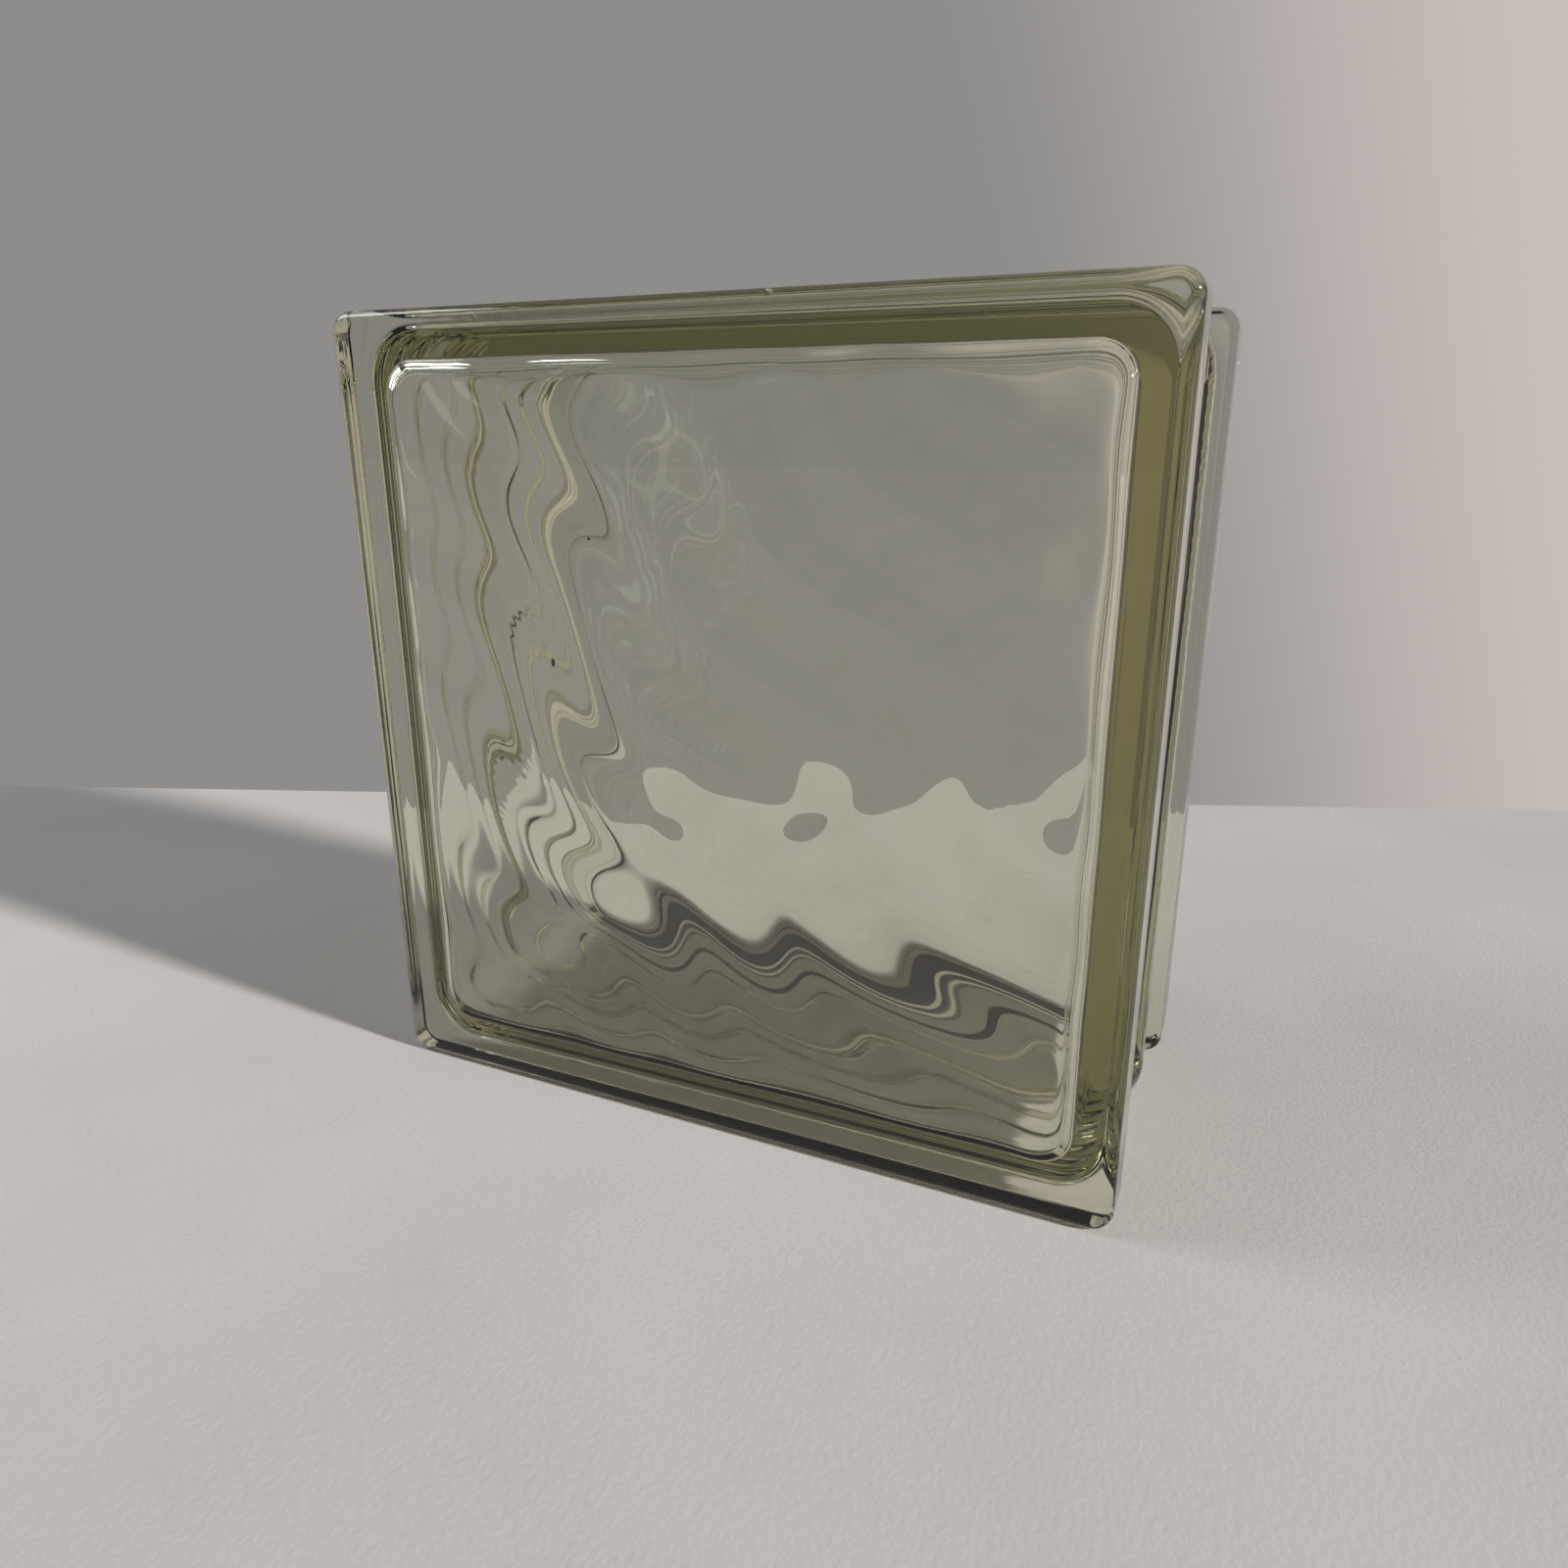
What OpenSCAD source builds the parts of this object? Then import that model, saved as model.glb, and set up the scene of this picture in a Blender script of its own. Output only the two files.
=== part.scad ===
// Hollow glass block with wavy inner faces, standing upright on its lower edge.
// The origin is at the middle of the underside: X runs across the face, Y runs
// from the front face to the rear face, and Z is up. All sizes are in millimetres.

/* [Block] */
// Width of the block, across the flanges
block_w = 197; // [150:1:300]
// Height of the block, across the flanges
block_h = 197; // [150:1:300]
// Depth of the block, from the front face to the rear face
block_d = 98; // [80:1:130]

/* [Flanges] */
// Depth of each flange, from its face back to the mortar groove
flange_d = 14; // [9:0.5:20]
// Radius of the four flange corners, seen from the front
corner_r = 5; // [4:0.25:15]
// Radius of the edge between the face and the flange's sides
edge_r = 3; // [1:0.25:3.75]
// Radius of the edge where the flange's sides turn into the mortar groove
heel_r = 1.2; // [0.4:0.2:1.2]

/* [Mortar groove and seam] */
// Depth of the mortar groove below the flange's sides
groove_depth = 4.5; // [4:0.25:6]
// Radius of the groove's corner at the foot of each flange
groove_fillet = 2.75; // [0.5:0.25:2.75]
// Radius of the body's four corners in the groove, seen from the front
body_r = 12; // [8:0.5:20]
// How far the crest of the fused seam stays below the flange's sides
seam_gap = 1; // [0.5:0.25:2.5]
// Width of the fused seam at its foot
seam_w = 14; // [8:0.5:24]

/* [Walls] */
// Thickness of each face, from its flat outside to the middle of its waves
face_wall = 7.5; // [5:0.25:12]
// Thickness of the side walls, under the mortar groove
side_wall = 6; // [5:0.25:12]
// Radius of the hollow's four corners, seen from the front
hollow_r = 8; // [6:0.5:20]
// Radius of the hollow where a face runs into the side walls
hollow_fillet = 5; // [3:0.5:10]

/* [Waves] */
// Distance from one wave crest to the next
wave_len = 27; // [20:1:60]
// Height of a crest above the middle of the waves
wave_rise = 0.45; // [0.2:0.05:1.5]
// Distance along a crest in which it sways once to and fro
sway_len = 80; // [50:1:150]
// How far a crest sways to each side
sway = 5; // [0:0.5:15]
// Turn of the front face's crests from upright, in degrees
front_turn = -135; // [-180:1:180]
// Turn of the rear face's crests from upright, in degrees
rear_turn = -45; // [-180:1:180]

/* [Hidden] */
$fn = 64;
glass_colour = [0.62, 0.64, 0.52, 0.6];

// How far a shape reaches into its neighbour, so that the two become one
bite = 1;

// Heights above the seam plane, which lies midway between the two faces
face_z = block_d / 2;
flange_back_z = face_z - flange_d;
hollow_z = face_z - face_wall;

// Sizes across the face
body_w = block_w - 2 * groove_depth;
body_h = block_h - 2 * groove_depth;
hollow_half = [body_w / 2 - side_wall, body_h / 2 - side_wall];

// How far the fillet at a flange's foot reaches along the floor and up the flange
fillet_sink = 0.05;
foot_reach = groove_fillet - fillet_sink;

// The seam's cross-section is a piece of a circle that stands out of the groove
seam_rise = groove_depth - seam_gap;
seam_bulge_r = (pow(seam_w / 2, 2) + pow(seam_rise, 2)) / (2 * seam_rise);

// Rings of points on each face of the hollow, from its middle to its fillet and on to its wall
flat_rings = 18;
fillet_rings = 3;
rings = flat_rings + fillet_rings;
row = 2 * rings + 1;

// Rectangle with round corners, centred
module round_rect(w, h, r) {
    square([w - 2 * r, h], center = true);
    square([w, h - 2 * r], center = true);
    for (x = [-1, 1], y = [-1, 1])
        translate([x * (w / 2 - r), y * (h / 2 - r)]) circle(r);
}

// Carries a profile around a round_rect: the profile's x is measured outwards
// from the centre of the corners, and its y is the height above the seam plane
module carry_around(w, h, r) {
    for (side = [0 : 3])
        let (size = side % 2 == 0 ? [w, h] : [h, w])
            rotate(90 * side)
                translate([size.x / 2 - r, size.y / 2 - r, 0]) {
                    rotate([90, 0, 0]) linear_extrude(size.y - 2 * r) children();
                    rotate_extrude(angle = 90) children();
                }
}

// What a rounding of radius r takes off a square edge, with the arc's centre at the origin
module edge_waste(r) {
    difference() {
        square(r + bite);
        circle(r);
    }
}

// One flange: a plate as large as the face, with rounded edges
module flange() {
    difference() {
        translate([0, 0, flange_back_z]) linear_extrude(flange_d) round_rect(block_w, block_h, corner_r);
        carry_around(block_w, block_h, corner_r) {
            translate([corner_r - edge_r, face_z - edge_r]) edge_waste(edge_r);
        }
        carry_around(block_w, block_h, corner_r) {
            translate([corner_r - heel_r, flange_back_z + heel_r]) mirror([0, 1]) edge_waste(heel_r);
        }
    }
}

// Cross-section of the fillet between the groove's floor and a flange, which it sinks into both
module foot_fillet() {
    translate([body_r, flange_back_z])
        difference() {
            translate([-bite, -foot_reach]) square(foot_reach + bite);
            translate([foot_reach, -foot_reach]) circle(groove_fillet);
        }
}

// Body between the flanges, with a fillet at each end and the fused seam standing around its middle
module body() {
    linear_extrude(2 * (face_z - flange_d / 2), center = true) round_rect(body_w, body_h, body_r);
    for (half = [0, 1])
        mirror([0, 0, half])
            carry_around(body_w, body_h, body_r) foot_fillet();
    carry_around(body_w, body_h, body_r) {
        translate([body_r + seam_rise - seam_bulge_r, 0])
            intersection() {
                circle(seam_bulge_r);
                translate([seam_bulge_r - seam_rise - bite, -seam_bulge_r])
                    square([seam_rise + bite, 2 * seam_bulge_r]);
            }
    }
}

// Relief of the waves at a point of the face: crests that sway as they run
function wave(p, turn) =
    let (across = p.x * cos(turn) + p.y * sin(turn),
         along = p.y * cos(turn) - p.x * sin(turn))
    wave_rise * sin(360 * (across + sway * sin(360 * along / sway_len)) / wave_len);

// Point of the hollow's outline for a point on the edge of the unit square
function outline_point(q) =
    let (flat = hollow_half - [hollow_r, hollow_r],
         p = [q.x * hollow_half.x, q.y * hollow_half.y],
         c = [max(-flat.x, min(flat.x, p.x)), max(-flat.y, min(flat.y, p.y))])
    c + hollow_r * (p - c) / norm(p - c);

// How far round the fillet a ring lies, from 0 degrees on the face to 90 at the wall
function fillet_angle(ring) = 90 * max(0, ring - flat_rings) / fillet_rings;

// Size of a ring as a share of the outline
function ring_share(ring) =
    let (inset = hollow_fillet / min(hollow_half.x, hollow_half.y))
    ring <= flat_rings ? (1 - inset) * ring / flat_rings : 1 - inset * (1 - sin(fillet_angle(ring)));

// Point of one face of the hollow: rings of the outline's shape, with the waves on them
function hollow_point(i, j, turn, side) =
    let (ring = max(abs(i), abs(j)),
         p = ring == 0 ? [0, 0] : ring_share(ring) * outline_point([i, j] / ring),
         angle = fillet_angle(ring),
         z = hollow_z - hollow_fillet * (1 - cos(angle)) + cos(angle) * wave(p, turn))
    [p.x, p.y, side * z];

// Place in the list of points of the point in column i and row j
function index(i, j, face) = (face * row + j + rings) * row + i + rings;

// The two triangles of a four-sided patch
function two_triangles(a, b, c, d) = [[a, b, c], [a, c, d]];

// The sealed hollow, whose two faces carry the waves
module hollow() {
    points = [
        for (j = [-rings : rings], i = [-rings : rings]) hollow_point(i, j, front_turn, 1),
        for (j = [-rings : rings], i = [-rings : rings]) hollow_point(i, j, rear_turn, -1)
    ];
    edge = [
        for (i = [-rings : rings - 1]) [i, -rings],
        for (j = [-rings : rings - 1]) [rings, j],
        for (i = [-rings : rings - 1]) [-i, rings],
        for (j = [-rings : rings - 1]) [-rings, -j]
    ];
    faces = [
        for (i = [-rings : rings - 1], j = [-rings : rings - 1])
            each two_triangles(index(i, j, 0), index(i, j + 1, 0), index(i + 1, j + 1, 0), index(i + 1, j, 0)),
        for (i = [-rings : rings - 1], j = [-rings : rings - 1])
            each two_triangles(index(i, j, 1), index(i + 1, j, 1), index(i + 1, j + 1, 1), index(i, j + 1, 1)),
        for (k = [0 : len(edge) - 1])
            let (a = edge[k], b = edge[(k + 1) % len(edge)])
                each two_triangles(index(a.x, a.y, 0), index(b.x, b.y, 0), index(b.x, b.y, 1), index(a.x, a.y, 1))
    ];
    polyhedron(points, faces);
}

// The whole block: two pressed halves, fused at the seam into one piece of glass
module glass_block() {
    color(glass_colour)
        translate([0, 0, block_h / 2])
            rotate([90, 0, 0])
                difference() {
                    union() {
                        body();
                        for (half = [0, 1])
                            mirror([0, 0, half]) flange();
                    }
                    hollow();
                }
}

glass_block();
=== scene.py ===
"""Looks of a hollow glass block: one piece of pressed glass with waves inside its two faces."""

import math

import bpy
import numpy as np
from bpy.props import FloatProperty, FloatVectorProperty, PointerProperty
from mathutils import Euler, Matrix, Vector


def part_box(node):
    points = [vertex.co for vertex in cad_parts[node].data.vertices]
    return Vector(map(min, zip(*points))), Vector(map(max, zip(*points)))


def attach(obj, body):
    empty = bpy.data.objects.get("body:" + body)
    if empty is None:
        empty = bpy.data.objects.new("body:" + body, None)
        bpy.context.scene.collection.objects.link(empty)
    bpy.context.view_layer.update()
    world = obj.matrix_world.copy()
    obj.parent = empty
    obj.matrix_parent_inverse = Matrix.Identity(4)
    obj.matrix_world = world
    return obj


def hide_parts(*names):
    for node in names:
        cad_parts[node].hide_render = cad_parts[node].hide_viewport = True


bl_info = {
    "name": "Glass block",
    "version": (1, 0, 0),
    "blender": (4, 5, 0),
    "location": "View3D > Sidebar > Glass block",
    "description": "Builds a hollow glass block with wavy inner faces around its packed solid",
    "category": "Object",
}

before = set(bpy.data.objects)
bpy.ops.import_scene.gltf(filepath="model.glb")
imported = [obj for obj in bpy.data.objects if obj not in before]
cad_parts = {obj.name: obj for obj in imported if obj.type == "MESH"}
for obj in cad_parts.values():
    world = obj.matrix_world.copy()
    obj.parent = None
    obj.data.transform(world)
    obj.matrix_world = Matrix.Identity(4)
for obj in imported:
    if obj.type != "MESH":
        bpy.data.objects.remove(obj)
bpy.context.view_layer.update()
BLOCK_LOW, BLOCK_HIGH = (np.array(corner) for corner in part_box("glass_block"))
HALF_WIDTH, HALF_DEPTH, HALF_HEIGHT = (BLOCK_HIGH - BLOCK_LOW) / 2
MIDDLE = (BLOCK_LOW + BLOCK_HIGH) / 2

MM = 0.001
# Lengths closer than this are the same
HAIR = 1e-9
# Start of the random draws, and the range of a random phase in radians
SEED = 7
PHASES = (0, 6.28)


class BlockSizes(bpy.types.PropertyGroup):
    """Sizes of the glass: those of the solid, and the ripples that only the looks have."""

    flange_depth: FloatProperty(
        name="Flange depth", description="From a face back to the mortar groove",
        default=14 * MM, unit="LENGTH")
    corner_radius: FloatProperty(
        name="Corner radius", description="Flange corners, seen from the front",
        default=5 * MM, unit="LENGTH")
    edge_radius: FloatProperty(
        name="Edge radius", description="Edge between a face and the flange's sides",
        default=3 * MM, unit="LENGTH")
    heel_radius: FloatProperty(
        name="Heel radius", description="Edge between the flange's sides and the groove",
        default=1.2 * MM, unit="LENGTH")
    groove_depth: FloatProperty(
        name="Groove depth", description="Mortar groove below the flange's sides",
        default=4.5 * MM, unit="LENGTH")
    groove_fillet: FloatProperty(
        name="Groove fillet", description="Hollow corner at the foot of a flange",
        default=2.75 * MM, unit="LENGTH")
    body_radius: FloatProperty(
        name="Body radius", description="Body corners in the groove, seen from the front",
        default=12 * MM, unit="LENGTH")
    seam_gap: FloatProperty(
        name="Seam gap", description="Seam's crest below the flange's sides",
        default=1 * MM, unit="LENGTH")
    seam_width: FloatProperty(
        name="Seam width", description="Fused seam at its foot",
        default=14 * MM, unit="LENGTH")
    ripple: FloatProperty(
        name="Ripples", description="Rise of the ripples on the groove's floor",
        default=0.32 * MM, unit="LENGTH")
    ripple_length: FloatProperty(
        name="Ripple length", description="From one ripple to the next",
        default=9.4 * MM, unit="LENGTH")
    face_wall: FloatProperty(
        name="Face wall", description="Glass from a face to the middle of its waves",
        default=7.5 * MM, unit="LENGTH")
    side_wall: FloatProperty(
        name="Side wall", description="Glass between the groove and the hollow",
        default=6 * MM, unit="LENGTH")
    hollow_radius: FloatProperty(
        name="Hollow radius", description="Hollow's corners, seen from the front",
        default=8 * MM, unit="LENGTH")
    hollow_fillet: FloatProperty(
        name="Hollow fillet", description="Where a face runs into the side walls",
        default=5 * MM, unit="LENGTH")


class WaveSizes(bpy.types.PropertyGroup):
    """Waves on the inner faces."""

    length: FloatProperty(
        name="Wave length", description="From one crest to the next",
        default=27 * MM, unit="LENGTH")
    rise: FloatProperty(
        name="Wave rise", description="A crest above the middle of the waves",
        default=0.45 * MM, unit="LENGTH")
    sway: FloatProperty(
        name="Sway", description="How far a crest sways to each side",
        default=5 * MM, unit="LENGTH")
    sway_length: FloatProperty(
        name="Sway length", description="Run of a crest in which it sways to and fro",
        default=80 * MM, unit="LENGTH")
    front_turn: FloatProperty(
        name="Front turn", description="Front crests from upright",
        default=math.radians(-135), unit="ROTATION")
    rear_turn: FloatProperty(
        name="Rear turn", description="Rear crests from upright",
        default=math.radians(-45), unit="ROTATION")


class GlassLook(bpy.types.PropertyGroup):
    """Colour and polish of the glass."""

    tint: FloatVectorProperty(
        name="Tint", description="Colour that a long way through the glass leaves",
        default=(0.62, 0.61, 0.34), subtype="COLOR", size=3, min=0, max=1)
    density: FloatProperty(
        name="Density", description="How fast the glass takes on its tint",
        default=32.0)
    smudge: FloatProperty(
        name="Smudges", description="Roughness of the smudges on the fire-polished glass",
        default=0.03)
    wrinkle: FloatProperty(
        name="Wrinkles", description="Height of the chill wrinkles on the pressed faces",
        default=0.009 * MM, unit="LENGTH")
    draw_line: FloatProperty(
        name="Draw lines", description="Height of the fine lines around the flanges",
        default=0.004 * MM, unit="LENGTH")
    bead: FloatProperty(
        name="Seam beads", description="Height of the beads on the fused seam",
        default=0.03 * MM, unit="LENGTH")
    swell: FloatProperty(
        name="Swell", description="Height of the slow swell of all surfaces",
        default=0.07 * MM, unit="LENGTH")
    chip: FloatProperty(
        name="Chips", description="Height of the broken glass in a chip",
        default=0.6 * MM, unit="LENGTH")


class StageLook(bpy.types.PropertyGroup):
    """Floor, backdrop and lamps."""

    floor: FloatVectorProperty(
        name="Floor", description="Colour of the floor",
        default=(0.62, 0.60, 0.59), subtype="COLOR", size=3, min=0, max=1)
    backdrop: FloatVectorProperty(
        name="Backdrop", description="Colour of what lies behind the floor",
        default=(0.27, 0.265, 0.26), subtype="COLOR", size=3, min=0, max=1)
    # Painted light: the backdrop's brighter colour on the key lamp's side, as if that lamp lit it
    painted_lit_backdrop: FloatVectorProperty(
        name="Lit backdrop", description="Colour of the backdrop on the side of the key lamp",
        default=(0.58, 0.52, 0.49), subtype="COLOR", size=3, min=0, max=1)
    ambient: FloatProperty(
        name="Ambient", description="Plain light from all round, on the floor",
        default=0.18)
    key_strength: FloatProperty(
        name="Key lamp", description="Strength of the far lamp on the right",
        default=4.6)
    window_power: FloatProperty(
        name="Window lamp", description="Power of the high lamp on the left",
        default=6.0, unit="POWER")
    fill_power: FloatProperty(
        name="Fill lamp", description="Power of the low lamp on the left",
        default=0.25, unit="POWER")


# Points along each rounding of the outer profile, along half of the groove's floor, and around each loop
EDGE_POINTS, HEEL_POINTS, FILLET_POINTS, SEAM_POINTS = 13, 7, 7, 25
FLOOR_POINTS = 27
CORNER_STEPS, SIDE_STEPS = 12, 40
# Gap to the next point beside a rounding, which keeps the shading of the flat stretches flat
SUPPORT = 0.2 * MM
# Loops of points on each flat face, as shares of its outline
FACE_SHARES = np.array([0.03, 0.35, 0.7, 0.93])
# Ripples on the groove's floor: depth at which their sine starts, and the way over which both ends fade
RIPPLE_START = -24.4 * MM
RIPPLE_FADE = 1.5 * MM
# Dents of the fused seam: turns of their sines around the block, range of a sine's share, depth, and reach
DENT_TURNS = (23, 41, 67, 96, 131)
DENT_SHARES = (0.4, 1)
DENT_DEPTH = 0.10 * MM
DENT_REACH = 2.2 * MM


def loop_points(half_w, half_h, radius, per_corner, per_side):
    """Rounded rectangles as closed loops, one for each row of the arguments.

    Each corner is a quarter circle of the given radius about a centre that lies that radius inside both
    sides, and each side is a straight run from one quarter circle to the next. Returns x and z, a row for
    each loop.
    """
    half_w, half_h, radius = (np.asarray(v, float)[:, None] for v in (half_w, half_h, radius))
    xs, zs = [], []
    steps = np.arange(1, per_side + 1)[None, :] / (per_side + 1)
    signs = [(1, 1), (-1, 1), (-1, -1), (1, -1)]
    for corner, (sx, sz) in enumerate(signs):
        angle = np.radians(90 * corner + np.linspace(0, 90, per_corner + 1))[None, :]
        arc_x = sx * (half_w - radius) + radius * np.cos(angle)
        arc_z = sz * (half_h - radius) + radius * np.sin(angle)
        nx, nz = signs[(corner + 1) % 4]
        turn = np.radians(90 * corner + 90)
        next_x = nx * (half_w - radius) + radius * np.cos(turn)
        next_z = nz * (half_h - radius) + radius * np.sin(turn)
        xs += [arc_x, arc_x[:, -1:] + (next_x - arc_x[:, -1:]) * steps]
        zs += [arc_z, arc_z[:, -1:] + (next_z - arc_z[:, -1:]) * steps]
    return np.hstack(xs), np.hstack(zs)


def arc(centre, radius, start, end, count):
    """Points of a circular arc from one angle to another, in degrees."""
    angle = np.radians(np.linspace(start, end, count))
    return centre[0] + radius * np.cos(angle), centre[1] + radius * np.sin(angle)


def loop_quads(rows, count):
    """Quads between neighbouring closed loops of points."""
    row = np.arange(rows - 1)[:, None] * count
    here = np.arange(count)[None, :]
    after = (here + 1) % count
    return np.stack([row + count + here, row + count + after, row + after, row + here], -1).reshape(-1, 4)


def fan(pole, ring):
    """Triangles from the points of a ring to a pole."""
    return np.stack([ring, np.roll(ring, -1), np.full_like(ring, pole)], -1)


def half_profile(sizes):
    """Profile of the outside from the front face's edge to past the seam's crest, as insets and depths.

    It follows the rounded edge, the flange's side, the rounded heel, the flange's back and the fillet at its
    foot. The groove's floor has a sine of the depth on it, and the seam is an arc that stands out of it.
    """
    edge, heel, groove = sizes.edge_radius, sizes.heel_radius, sizes.groove_depth
    fillet, back = sizes.groove_fillet, HALF_DEPTH - sizes.flange_depth
    foot, rise = sizes.seam_width / 2, groove - sizes.seam_gap
    bulge = (foot ** 2 + rise ** 2) / (2 * rise)
    half_angle = math.degrees(math.asin(foot / bulge))
    floor = np.linspace(-back + fillet + SUPPORT, -foot - SUPPORT, FLOOR_POINTS)
    fade = np.clip(np.minimum(floor - floor[0], floor[-1] - floor) / RIPPLE_FADE, 0, 1)
    ripples = sizes.ripple * fade * np.sin(2 * np.pi * (floor - RIPPLE_START) / sizes.ripple_length)
    stretches = [
        ([edge + SUPPORT], [-HALF_DEPTH]),
        arc((edge, -HALF_DEPTH + edge), edge, 270, 180, EDGE_POINTS),
        ([0, 0], [-HALF_DEPTH + edge + SUPPORT, -back - heel - SUPPORT]),
        arc((heel, -back - heel), heel, 180, 90, HEEL_POINTS),
        ([heel + SUPPORT, groove - fillet - SUPPORT], [-back, -back]),
        arc((groove - fillet, -back + fillet), fillet, 270, 360, FILLET_POINTS),
        (groove - ripples, floor),
        arc((groove - rise + bulge, 0), bulge, 180 + half_angle, 180 - half_angle, SEAM_POINTS),
    ]
    return [np.concatenate(parts) for parts in zip(*stretches)]


def whole_profile(sizes):
    """The half profile's points in front of the seam plane, those on it, and the former mirrored behind."""
    inset, depth = half_profile(sizes)
    front, crest = depth < -HAIR, np.abs(depth) <= HAIR
    return (np.concatenate([inset[front], inset[crest], inset[front][::-1]]),
            np.concatenate([depth[front], depth[crest], -depth[front][::-1]]))


def corner_radii(sizes, inset, depth):
    """Corner radius of the rounded rectangle at each point of the profile.

    On a flange it is the flange's corner radius less the inset, and on the body it is the body's corner
    radius, more where the seam stands out of the groove. Down a flange's back it runs from one to the other.
    """
    heel, groove = sizes.heel_radius, sizes.groove_depth
    past_back = np.abs(depth) - (HALF_DEPTH - sizes.flange_depth)
    share = np.clip((inset - heel) / (groove - heel), 0, 1)
    back_radius = (1 - share) * (sizes.corner_radius - heel) + share * sizes.body_radius
    body_radius = sizes.body_radius + groove - inset
    radius = np.where(past_back > -HAIR, sizes.corner_radius - inset, body_radius)
    return np.where(np.abs(past_back) < HAIR, back_radius, radius)


def dent_seam(points, depth):
    """Unevenness of the fused seam: sums of sines along it, strongest on its crest, move points inwards."""
    rng = np.random.default_rng(SEED)
    crest = points[len(depth) // 2]
    run = np.cumsum(np.linalg.norm(np.diff(crest, axis=0, append=crest[:1]), axis=1))
    dents = np.zeros_like(run)
    for turns in DENT_TURNS:
        dents += rng.uniform(*DENT_SHARES) * np.sin(2 * np.pi * turns * run / run[-1] + rng.uniform(*PHASES))
    share = np.exp(-(depth / DENT_REACH) ** 2)
    push = DENT_DEPTH * np.abs(dents)[None, :] * share[:, None]
    out = (points - [0, 0, MIDDLE[2]]) * [1, 0, 1]
    return points - out / np.linalg.norm(out, axis=-1, keepdims=True) * push[..., None]


def outer_shell(sizes):
    """Outside of the block: a profile carried around a rounded rectangle.

    The profile runs from the middle of the front face to its rounded edge, over the flange, through the
    groove, over the seam, and on to the middle of the rear face in the same way. At each of its points the
    rectangle has its own half width, half height and corner radius, because the flanges and the body have
    different corners.
    """
    inset, depth = whole_profile(sizes)
    edges = (HALF_WIDTH - inset, HALF_HEIGHT - inset, corner_radii(sizes, inset, depth))
    loops = [np.concatenate([FACE_SHARES * v[0], v, v[0] * FACE_SHARES[::-1]]) for v in edges]
    face = np.full(len(FACE_SHARES), HALF_DEPTH)
    depth = np.concatenate([-face, depth, face])
    x, z = loop_points(*loops, CORNER_STEPS, SIDE_STEPS)
    y = np.broadcast_to(depth[:, None], x.shape)
    points = dent_seam(np.stack([x, y, z + MIDDLE[2]], -1), depth).reshape(-1, 3)
    poles = [[0, -HALF_DEPTH, MIDDLE[2]], [0, HALF_DEPTH, MIDDLE[2]]]
    rows, count = x.shape
    ring = np.arange(count)
    front_tris = fan(len(points), ring)
    rear_tris = fan(len(points) + 1, ring + (rows - 1) * count)[:, [1, 0, 2]]
    return np.concatenate([points, poles]), loop_quads(rows, count), np.concatenate([front_tris, rear_tris])


# Rings of points on each face of the hollow, flat ones and those down the fillet, and rows on its walls
FLAT_RINGS, FILLET_RINGS, WALL_ROWS = 58, 8, 48
RINGS = FLAT_RINGS + FILLET_RINGS
GRID_SIDE = 2 * RINGS + 1
# Faint rings on the hollow's walls, in millimetres: their depths, the width of one, the range of their rise,
# and the range and turns of the sines that they wander by
WALL_RINGS = np.arange(-28, 37, 9.4)
WALL_RING_WIDTH = 3.0
WALL_RING_RISES = (0.04, 0.10)
WANDERS = (0.15, 0.5)
WANDER_TURNS = (2, 5, 9, 15)
# Way over which these rings fade towards both faces
WALL_RING_FADE = 6 * MM


def wave_relief(x, z, waves, turn):
    """Relief of the waves: a sine across crests that sway to and fro, by another sine, as they run."""
    across = x * math.cos(turn) + z * math.sin(turn)
    along = z * math.cos(turn) - x * math.sin(turn)
    swayed = across + waves.sway * np.sin(2 * np.pi * along / waves.sway_length)
    return waves.rise * np.sin(2 * np.pi * swayed / waves.length)


def hollow_face(sizes, waves, turn, side):
    """One face of the hollow: square rings of a grid, pulled to the rounded outline of the hollow.

    A grid point's ring is the larger of its two steps from the middle. It lies at that ring's share of the
    outline, and the rings past the flat ones run down a fillet to the side walls.
    """
    step = np.arange(-RINGS, RINGS + 1)
    i, j = np.meshgrid(step, step)
    ring = np.maximum(np.abs(i), np.abs(j))
    safe = np.maximum(ring, 1)
    half_w = HALF_WIDTH - sizes.groove_depth - sizes.side_wall
    half_h = HALF_HEIGHT - sizes.groove_depth - sizes.side_wall
    px, pz = half_w * i / safe, half_h * j / safe
    cx = np.clip(px, sizes.hollow_radius - half_w, half_w - sizes.hollow_radius)
    cz = np.clip(pz, sizes.hollow_radius - half_h, half_h - sizes.hollow_radius)
    length = np.maximum(np.hypot(px - cx, pz - cz), HAIR)
    px = cx + sizes.hollow_radius * (px - cx) / length
    pz = cz + sizes.hollow_radius * (pz - cz) / length
    angle = np.radians(90 * np.maximum(ring - FLAT_RINGS, 0) / FILLET_RINGS)
    inset = sizes.hollow_fillet / half_w
    share = np.where(ring <= FLAT_RINGS, (1 - inset) * ring / FLAT_RINGS, 1 - inset * (1 - np.sin(angle)))
    x, z = px * share, pz * share
    rise = HALF_DEPTH - sizes.face_wall - sizes.hollow_fillet * (1 - np.cos(angle))
    rise = rise + np.cos(angle) * wave_relief(x, z, waves, turn)
    return np.stack([x, side * rise, z + MIDDLE[2]], -1)


def grid_edge():
    """Row and column of each point around the edge of a face's grid, in order."""
    last = GRID_SIDE - 1
    side = np.arange(last)
    rows = np.concatenate([0 * side, side, 0 * side + last, last - side])
    columns = np.concatenate([side, 0 * side + last, last - side, 0 * side])
    return rows, columns


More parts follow.
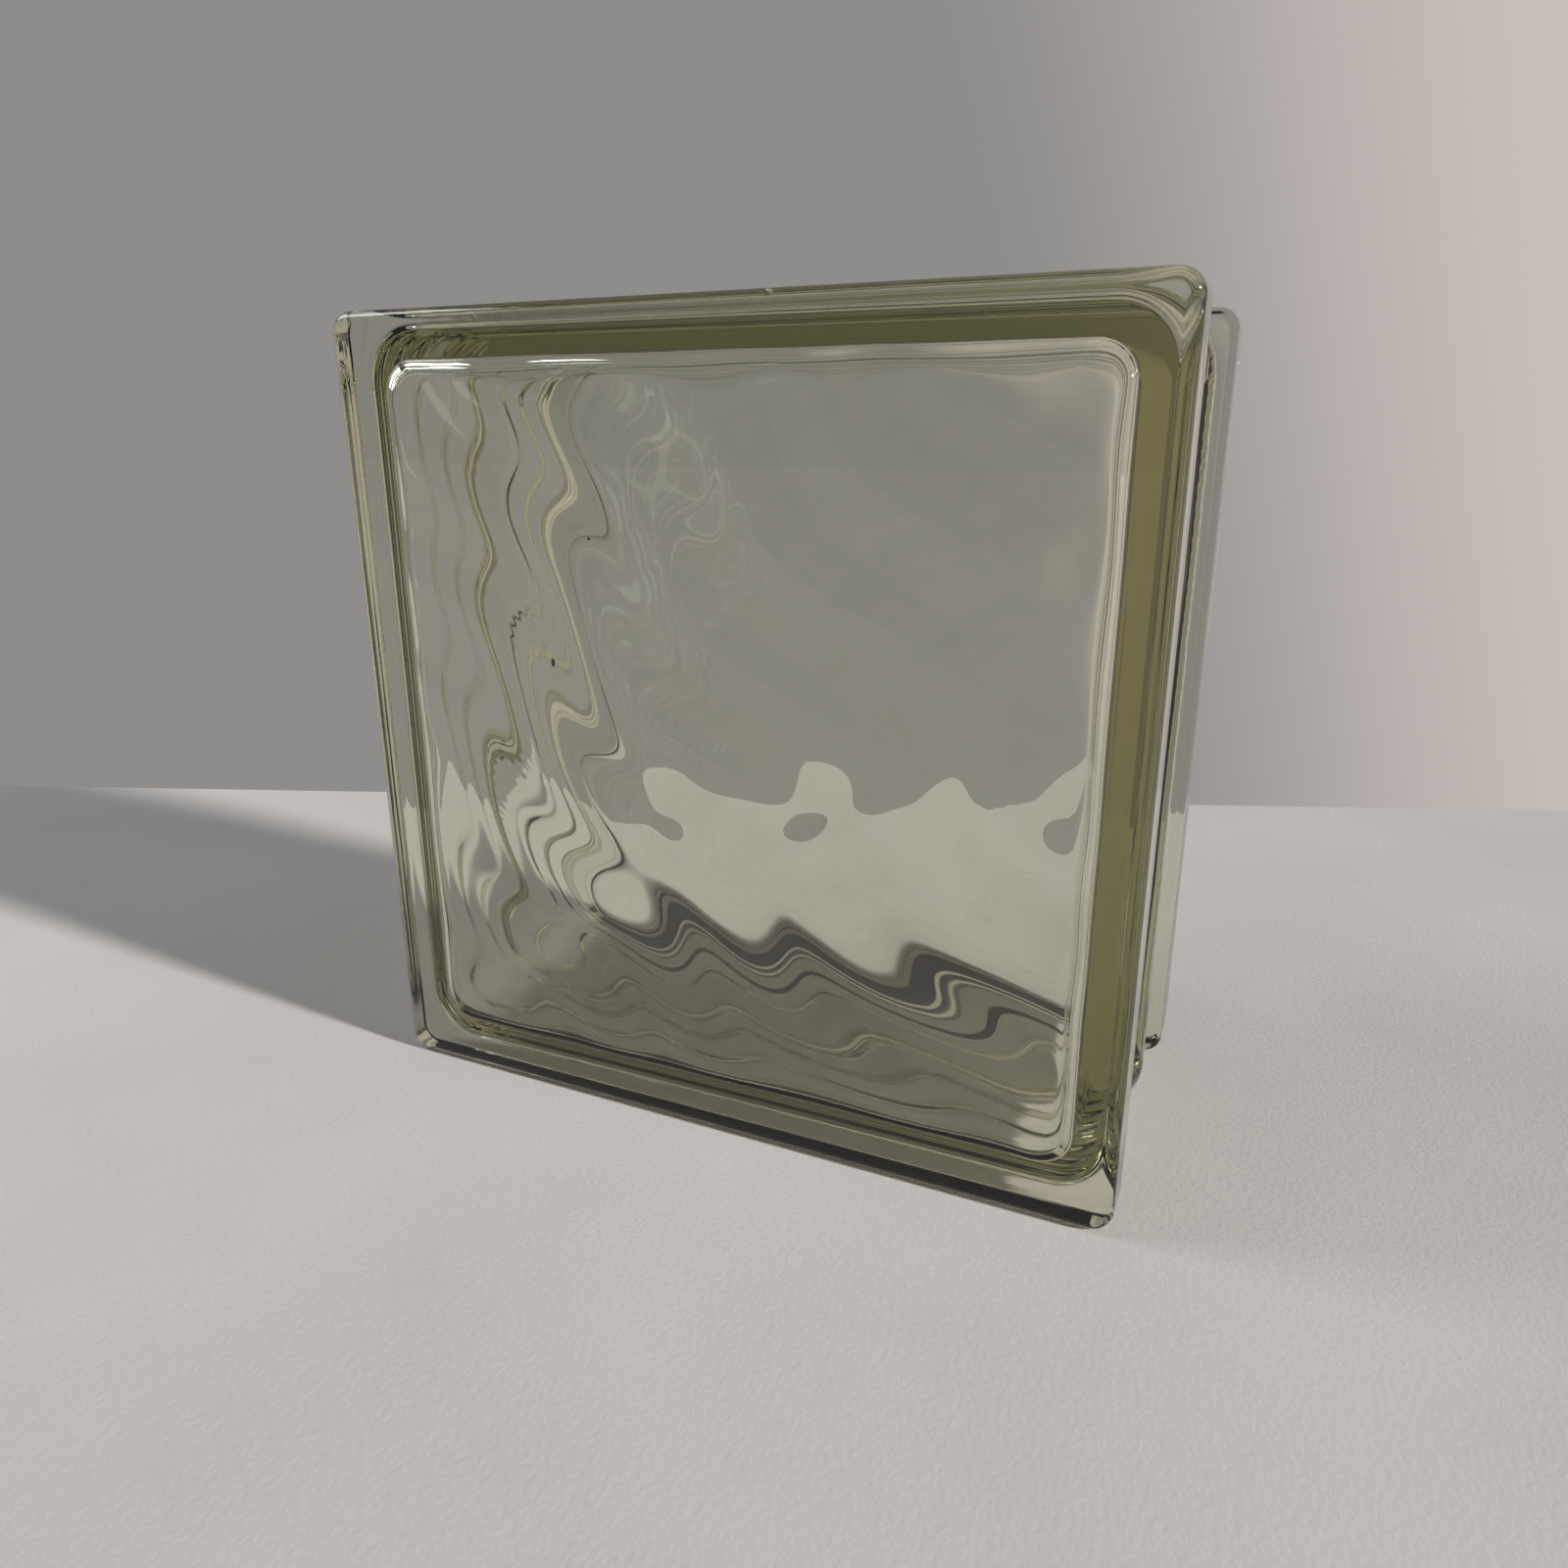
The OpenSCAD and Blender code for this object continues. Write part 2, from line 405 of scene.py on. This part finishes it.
def ring_walls(walls):
    """Rings on the hollow's side walls: broad bells at even steps of the depth, which wander on their way.

    A bell moves points inwards by the exponential of the negative square of the way from the ring's middle,
    as a share of its width. The way wanders by a sum of sines of the angle around the walls.
    """
    rng = np.random.default_rng(SEED + 1)
    turn = np.arctan2(walls[..., 2] - MIDDLE[2], walls[..., 0])
    depth = walls[..., 1]
    push = np.zeros_like(depth)
    for ring in WALL_RINGS:
        wander = sum(rng.uniform(*WANDERS) * np.sin(k * turn + rng.uniform(*PHASES)) for k in WANDER_TURNS)
        bell = np.exp(-((depth / MM - ring - wander) / WALL_RING_WIDTH) ** 2)
        push -= rng.uniform(*WALL_RING_RISES) * MM * bell
    push *= np.clip((np.abs(walls[-1, :, 1]) - np.abs(depth)) / WALL_RING_FADE, 0, 1)
    out = np.stack([np.cos(turn), 0 * turn, np.sin(turn)], -1)
    return walls + out * push[..., None]


def hollow_shell(sizes, waves):
    """Sealed hollow: two wavy faces, and side walls with faint rings, which join the edges of the faces."""
    front = hollow_face(sizes, waves, waves.front_turn, -1)
    rear = hollow_face(sizes, waves, waves.rear_turn, 1)
    rows, columns = grid_edge()
    share = np.linspace(0, 1, WALL_ROWS + 2)[1:-1, None, None]
    walls = ring_walls((1 - share) * front[rows, columns] + share * rear[rows, columns])
    points = np.concatenate([part.reshape(-1, 3) for part in (front, rear, walls)])
    grid = GRID_SIDE * GRID_SIDE
    step = np.arange(GRID_SIDE - 1)
    corner = (step[:, None] * GRID_SIDE + step[None, :]).reshape(-1)
    quads = np.stack([corner, corner + 1, corner + GRID_SIDE + 1, corner + GRID_SIDE], -1)
    edge = (rows * GRID_SIDE + columns)[None, :]
    wall_loops = 2 * grid + np.arange(WALL_ROWS * edge.size).reshape(WALL_ROWS, edge.size)
    loops = np.concatenate([edge, wall_loops, edge + grid])
    after = np.roll(loops, -1, axis=1)
    wall_quads = np.stack([after[:-1], after[1:], loops[1:], loops[:-1]], -1).reshape(-1, 4)
    return points, np.concatenate([quads[:, ::-1], quads + grid, wall_quads])


def put_piece(name, points, faces, material):
    """Makes a smooth mesh object from points and faces, with its place in its mesh."""
    mesh = bpy.data.meshes.new(name)
    mesh.from_pydata(points.tolist(), [], faces)
    mesh.update()
    mesh.validate()
    mesh.shade_smooth()
    mesh.materials.append(material)
    piece = bpy.data.objects.new(name, mesh)
    bpy.context.scene.collection.objects.link(piece)
    return piece


class Value:
    """A shader value: arithmetic on it adds Math nodes to its tree."""

    def __init__(self, shader, socket):
        self.shader = shader
        self.socket = socket

    def math(self, operation, *operands):
        return self.shader.node("ShaderNodeMath", {"operation": operation}, dict(enumerate(operands)))

    def __add__(self, other):
        return self.math("ADD", self, other)

    __radd__ = __add__

    def __sub__(self, other):
        return self.math("SUBTRACT", self, other)

    def __rsub__(self, other):
        return self.math("SUBTRACT", other, self)

    def __mul__(self, other):
        return self.math("MULTIPLY", self, other)

    __rmul__ = __mul__

    def __gt__(self, other):
        return self.math("GREATER_THAN", self, other)

    def __lt__(self, other):
        return self.math("LESS_THAN", self, other)

    def __abs__(self):
        return self.math("ABSOLUTE", self)

    def larger(self, other):
        return self.math("MAXIMUM", self, other)

    def sine(self):
        return self.math("SINE", self)

    def step(self, start, end):
        """Runs smoothly from 0 at the start to 1 at the end."""
        return self.shader.node("ShaderNodeMapRange", {"interpolation_type": "SMOOTHSTEP"}, {
            "Value": self, "From Min": start, "From Max": end, "To Min": 0.0, "To Max": 1.0})


class Shader:
    """The node tree of a material or of the world."""

    def __init__(self, owner):
        owner.use_nodes = True
        self.tree = owner.node_tree
        self.tree.nodes.clear()

    def node(self, kind, settings=None, inputs=None, output=0):
        """Adds a node, sets its settings and then its sockets, and returns one of its outputs."""
        added = self.tree.nodes.new(kind)
        for name, value in (settings or {}).items():
            setattr(added, name, value)
        for name, value in (inputs or {}).items():
            if isinstance(value, Value):
                self.tree.links.new(value.socket, added.inputs[name])
            else:
                added.inputs[name].default_value = value
        return Value(self, added.outputs[output]) if len(added.outputs) else added

    def split(self, vector):
        """The three parts of a vector."""
        first = self.node("ShaderNodeSeparateXYZ", None, {0: vector})
        return [Value(self, part) for part in first.socket.node.outputs]

    def blend(self, share, first, second):
        """A colour that runs from the first at a share of 0 to the second at 1."""
        return self.node("ShaderNodeMix", {"data_type": "RGBA"}, {
            0: share, 6: (*first, 1), 7: (*second, 1)}, 2)

    def bump(self, height):
        """A normal tilted by a height in metres."""
        return self.node("ShaderNodeBump", None, {"Strength": 1.0, "Distance": 1.0, "Height": height})


# Dark specks in the front face's waves: place across and up, then half width and half height, in millimetres
SPECKS = ((-43.2, 116.5, 0.55, 1.05), (-31.1, 146.3, 0.40, 0.35))
# Depth in which the specks lie, from the seam plane forwards, and how far they reach from it
SPECK_DEPTH, SPECK_REACH = 41.0 * MM, 3.0 * MM
# Small chips on the front edges: place across, in depth and up, then radius, in millimetres
CHIPS = ((16.7, -48.1, 196.1, 1.1), (-55.2, -48.8, 194.0, 0.8), (97.6, -48.1, 4.5, 1.2))
CHIP_ROUGHNESS = 0.3
# Clear and black glass, and the index of refraction
CLEAR, BLACK = (0.98, 0.985, 0.975), (0.0, 0.0, 0.0)
REFRACTION = 1.52
# The two textures of the glass: a slow noise, and distorted bands
SLOW_NOISE = {"Scale": 30.0, "Detail": 1.0}
BANDS = {"Scale": 190.0, "Distortion": 6.0, "Detail": 0.0, "Detail Scale": 0.45}
# Bounds of the noise between which its patches of smudges and of wrinkles begin
SMUDGE_PATCHES, WRINKLE_PATCHES = (0.60, 0.75), (0.56, 0.68)
# Where wrinkles lie: depths from the seam plane, reach from the middle of a face, and heights of their start
WRINKLE_START, WRINKLE_END = (38.5 * MM, 40.0 * MM), 45.0 * MM
WRINKLE_REACH = 80.0 * MM
WRINKLE_HEIGHTS = (75.0 * MM, 95.0 * MM)
# Where the outside lies, without the front and the rear: reach from the middle, and depth from the seam plane
OUTSIDE_REACH, OUTSIDE_END = 91.0 * MM, 46.5 * MM
# Draw lines: depth at which they begin, pitch, and how far the noise moves their phase
LINE_START, LINE_PITCH, LINE_DRIFT = 34.0 * MM, 2.4 * MM, 5.0
# Depths between which the beads begin
BEAD_START = (5.0 * MM, 1.5 * MM)


def glass_relief(look, place, slow, bands, chips):
    """Height of the glass's fine relief, in metres.

    Chill wrinkles are distorted bands in patches of the hollow's two faces, above their lower third. Draw
    lines are sines of the depth on the flanges' sides, moved by the slow noise that also makes the patches.
    Beads are the same bands near the seam plane, outside, and the bands roughen the chips too. A swell of the
    slow noise lies over all surfaces.
    """
    x, y, z = place
    depth = abs(y)
    reach = abs(x).larger(abs(z - float(MIDDLE[2])))
    pressed = depth.step(*WRINKLE_START) * (reach < WRINKLE_REACH) * (depth < WRINKLE_END)
    outside = (reach > OUTSIDE_REACH) * (depth < OUTSIDE_END)
    wrinkles = pressed * slow.step(*WRINKLE_PATCHES) * z.step(*WRINKLE_HEIGHTS)
    lines = outside * (depth > LINE_START) * (y * (2 * math.pi / LINE_PITCH) + slow * LINE_DRIFT).sine()
    beads = outside * depth.step(*BEAD_START)
    return (bands * (wrinkles * look.wrinkle + beads * look.bead + chips * look.chip)
            + lines * look.draw_line + slow * look.swell)


def chip_mask(shader, point):
    """1 in the balls about the chips' middles, and 0 elsewhere."""
    mask = 0.0
    for *middle, radius in CHIPS:
        away = shader.node("ShaderNodeVectorMath", {"operation": "DISTANCE"}, {
            0: point, 1: [v * MM for v in middle]}, "Value")
        mask = (away < radius * MM) + mask
    return mask


def speck_mask(x, y, z):
    """1 in the ellipses of the specks, near the front face of the hollow, and 0 elsewhere."""
    mask = 0.0
    for across, up, half_width, half_height in SPECKS:
        aside = (x - across * MM) * (1 / (half_width * MM))
        above = (z - up * MM) * (1 / (half_height * MM))
        mask = (aside * aside + above * above < 1.0) + mask
    return mask * (abs(y + SPECK_DEPTH) < SPECK_REACH)


def glass_material(look):
    """Clear pressed glass: its tint grows with the way through it, and it has fine relief and specks."""
    material = bpy.data.materials.new("pressed_glass")
    shader = Shader(material)
    point = shader.node("ShaderNodeTexCoord", output="Object")
    place = shader.split(point)
    slow = shader.node("ShaderNodeTexNoise", None, {"Vector": point, **SLOW_NOISE})
    bands = shader.node("ShaderNodeTexWave", {"bands_direction": "DIAGONAL"}, {
        "Vector": point, **BANDS}, "Fac")
    chips = chip_mask(shader, point)
    surface = shader.node("ShaderNodeBsdfPrincipled", None, {
        "Base Color": shader.blend(speck_mask(*place), CLEAR, BLACK),
        "Roughness": slow.step(*SMUDGE_PATCHES) * look.smudge + chips * CHIP_ROUGHNESS,
        "IOR": REFRACTION,
        "Transmission Weight": 1.0,
        "Normal": shader.bump(glass_relief(look, place, slow, bands, chips))})
    volume = shader.node("ShaderNodeVolumeAbsorption", None, {
        "Color": (*look.tint, 1), "Density": look.density})
    shader.node("ShaderNodeOutputMaterial", None, {"Surface": surface, "Volume": volume})
    return material


class GLASSBLOCK_OT_block(bpy.types.Operator):
    """Builds the block: its outer shell and its sealed hollow, as one closed piece of glass"""

    bl_idname = "glassblock.make_block"
    bl_label = "Glass block"

    def execute(self, context):
        sizes, waves = context.scene.block_sizes, context.scene.wave_sizes
        outer, quads, tris = outer_shell(sizes)
        hollow, hollow_quads = hollow_shell(sizes, waves)
        points = np.concatenate([outer, hollow])
        faces = quads.tolist() + tris.tolist() + (hollow_quads + len(outer)).tolist()
        piece = put_piece("block", points, faces, glass_material(context.scene.glass_look))
        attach(piece, "root")
        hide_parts("glass_block")
        return {"FINISHED"}


# Floor: depth of its far edge at the middle, the slope of that edge, and its reach to the other sides
FLOOR_EDGE, FLOOR_SLOPE, FLOOR_REACH = 0.237, 0.384, 4.0
# Mottled and grained floor: its textures, the bounds and the two shades of its mottle, roughness, and grain
MOTTLE = {"Scale": 9.0, "Detail": 6.0}
GRAIN = {"Scale": 700.0, "Detail": 2.0}
MOTTLE_BOUNDS = (0.3, 0.7)
FLOOR_SHADES = (0.96, 1.03)
FLOOR_ROUGHNESS, MOTTLE_ROUGHNESS = 0.8, 0.15
FLOOR_GLOSS = 0.2
GRAIN_HEIGHT = 0.08 * MM
# Painted light on the key lamp's side of the backdrop, brighter there as if that lamp lit it: how far its
# edge leans, and the bounds between which it begins
LIT_LEAN, LIT_BOUNDS = 0.25, (-0.25, 0.20)
# Rays that see the backdrop; the others see the even light
SEEING_RAYS = ("Is Camera Ray", "Is Glossy Ray", "Is Transmission Ray")
# Lamps: a far one on the right, and a low and a high panel on the left
KEY = {"place": (2.95, -0.22, 1.20), "target": (0, 0, 0.08), "colour": (1.0, 0.97, 0.93)}
KEY_ANGLE = math.radians(4.4)
FILL = {"place": (-1.126, -0.917, 0.11), "target": (0, 0, 0.10), "colour": (0.93, 0.97, 1.0)}
FILL_SIZE = (0.22, 0.22)
WINDOW = {"place": (-1.25, -0.30, 1.15), "target": (0, 0, 0.15), "colour": (0.92, 0.96, 1.0)}
WINDOW_SIZE = (0.5, 0.7)
# Camera: place, turn, lens in millimetres, and the nearest that it sees
CAMERA_PLACE = (0.11941, -0.26576, 0.17159)
CAMERA_TURN = (math.radians(90 - 17.763), math.radians(0.213), math.radians(24.541))
CAMERA_LENS = 25.92
CAMERA_NEAR = 0.01
# Faces that a ray may pass, which are many in a hollow block
BOUNCES = 24


def floor_material(look):
    """Matt pale floor, slightly mottled."""
    material = bpy.data.materials.new("pale_floor")
    shader = Shader(material)
    point = shader.node("ShaderNodeTexCoord", output="Object")
    mottle = shader.node("ShaderNodeTexNoise", None, {"Vector": point, **MOTTLE})
    grain = shader.node("ShaderNodeTexNoise", None, {"Vector": point, **GRAIN})
    dark, pale = ([shade * v for v in look.floor] for shade in FLOOR_SHADES)
    surface = shader.node("ShaderNodeBsdfPrincipled", None, {
        "Base Color": shader.blend(mottle.step(*MOTTLE_BOUNDS), dark, pale),
        "Roughness": FLOOR_ROUGHNESS + MOTTLE_ROUGHNESS * mottle,
        "Specular IOR Level": FLOOR_GLOSS,
        "Normal": shader.bump(grain * GRAIN_HEIGHT)})
    shader.node("ShaderNodeOutputMaterial", None, {"Surface": surface})
    return material


def lay_floor(look):
    """A flat floor, whose far edge runs aslant behind the block."""
    slant = FLOOR_SLOPE * FLOOR_REACH
    corners = np.array([(-FLOOR_REACH, -FLOOR_REACH, 0), (FLOOR_REACH, -FLOOR_REACH, 0),
                        (FLOOR_REACH, FLOOR_EDGE + slant, 0), (-FLOOR_REACH, FLOOR_EDGE - slant, 0)])
    floor = put_piece("floor", corners, [[0, 1, 2, 3]], floor_material(look))


def light_world(world, look):
    """A backdrop for what is seen, also in and through the glass, with painted light that makes it brighter
    towards the key lamp's side, and an even light for the rest.
    """
    shader = Shader(world)
    across, _, up = shader.split(shader.node("ShaderNodeTexCoord", output="Generated"))
    # Painted light: the backdrop turns to its brighter colour towards the key lamp's side
    lit = (across + LIT_LEAN * up).step(*LIT_BOUNDS)
    seen = shader.node("ShaderNodeBackground", None, {
        "Color": shader.blend(lit, look.backdrop, look.painted_lit_backdrop), "Strength": 1.0})
    light = shader.node("ShaderNodeBackground", None, {
        "Color": (look.ambient, look.ambient, look.ambient, 1), "Strength": 1.0})
    camera, glossy, through = (shader.node("ShaderNodeLightPath", output=ray) for ray in SEEING_RAYS)
    seeing = camera + glossy + through > 0.5
    surface = shader.node("ShaderNodeMixShader", None, {0: seeing, 1: light, 2: seen})
    shader.node("ShaderNodeOutputWorld", None, {"Surface": surface})


def hang(name, light, power, place, target, colour):
    """Puts a lamp at a place, turned to a target."""
    light.energy = power
    light.color = colour
    holder = bpy.data.objects.new(name, light)
    holder.location = place
    holder.rotation_euler = (Vector(target) - Vector(place)).to_track_quat("-Z", "Y").to_euler()
    bpy.context.scene.collection.objects.link(holder)


def panel_lamp(name, power, size, spot):
    """A flat lamp that hangs at a spot."""
    light = bpy.data.lights.new(name, "AREA")
    light.shape = "RECTANGLE"
    light.size, light.size_y = size
    hang(name, light, power, **spot)


def far_lamp(name, strength, angle, spot):
    """A lamp so far off that its light doesn't fall off, shining from a spot."""
    light = bpy.data.lights.new(name, "SUN")
    light.angle = angle
    hang(name, light, strength, **spot)


def put_camera(scene):
    """The camera of the scene."""
    camera = bpy.data.cameras.new("camera")
    camera.lens = CAMERA_LENS
    camera.clip_start = CAMERA_NEAR
    holder = bpy.data.objects.new("camera", camera)
    holder.location = CAMERA_PLACE
    holder.rotation_euler = Euler(CAMERA_TURN, "XYZ")
    scene.collection.objects.link(holder)
    scene.camera = holder


class GLASSBLOCK_OT_stage(bpy.types.Operator):
    """Builds the floor, the backdrop, the lamps and the camera"""

    bl_idname = "glassblock.make_stage"
    bl_label = "Stage"

    def execute(self, context):
        scene, look = context.scene, context.scene.stage_look
        lay_floor(look)
        scene.world = bpy.data.worlds.new("backdrop")
        light_world(scene.world, look)
        far_lamp("key", look.key_strength, KEY_ANGLE, KEY)
        panel_lamp("fill", look.fill_power, FILL_SIZE, FILL)
        panel_lamp("window", look.window_power, WINDOW_SIZE, WINDOW)
        put_camera(scene)
        scene.view_settings.view_transform = "Standard"
        scene.cycles.max_bounces = BOUNCES
        scene.cycles.transmission_bounces = BOUNCES
        return {"FINISHED"}


class GLASSBLOCK_PT_panel(bpy.types.Panel):
    """Lists the block's sizes and its operators"""

    bl_idname = "GLASSBLOCK_PT_panel"
    bl_label = "Glass block"
    bl_space_type = "VIEW_3D"
    bl_region_type = "UI"
    bl_category = "Glass block"

    def draw(self, context):
        for group in GROUPS:
            holder = getattr(context.scene, group)
            for name in holder.__annotations__:
                self.layout.prop(holder, name)
        for operator in (GLASSBLOCK_OT_block, GLASSBLOCK_OT_stage):
            self.layout.operator(operator.bl_idname)


GROUPS = {
    "block_sizes": BlockSizes,
    "wave_sizes": WaveSizes,
    "glass_look": GlassLook,
    "stage_look": StageLook,
}
CLASSES = (*GROUPS.values(), GLASSBLOCK_OT_block, GLASSBLOCK_OT_stage, GLASSBLOCK_PT_panel)


def register():
    for cls in CLASSES:
        bpy.utils.register_class(cls)
    for name, group in GROUPS.items():
        setattr(bpy.types.Scene, name, PointerProperty(type=group))


def unregister():
    for name in GROUPS:
        delattr(bpy.types.Scene, name)
    for cls in reversed(CLASSES):
        bpy.utils.unregister_class(cls)


def main():
    register()
    bpy.ops.glassblock.make_block()
    bpy.ops.glassblock.make_stage()


if __name__ == "__main__":
    main()
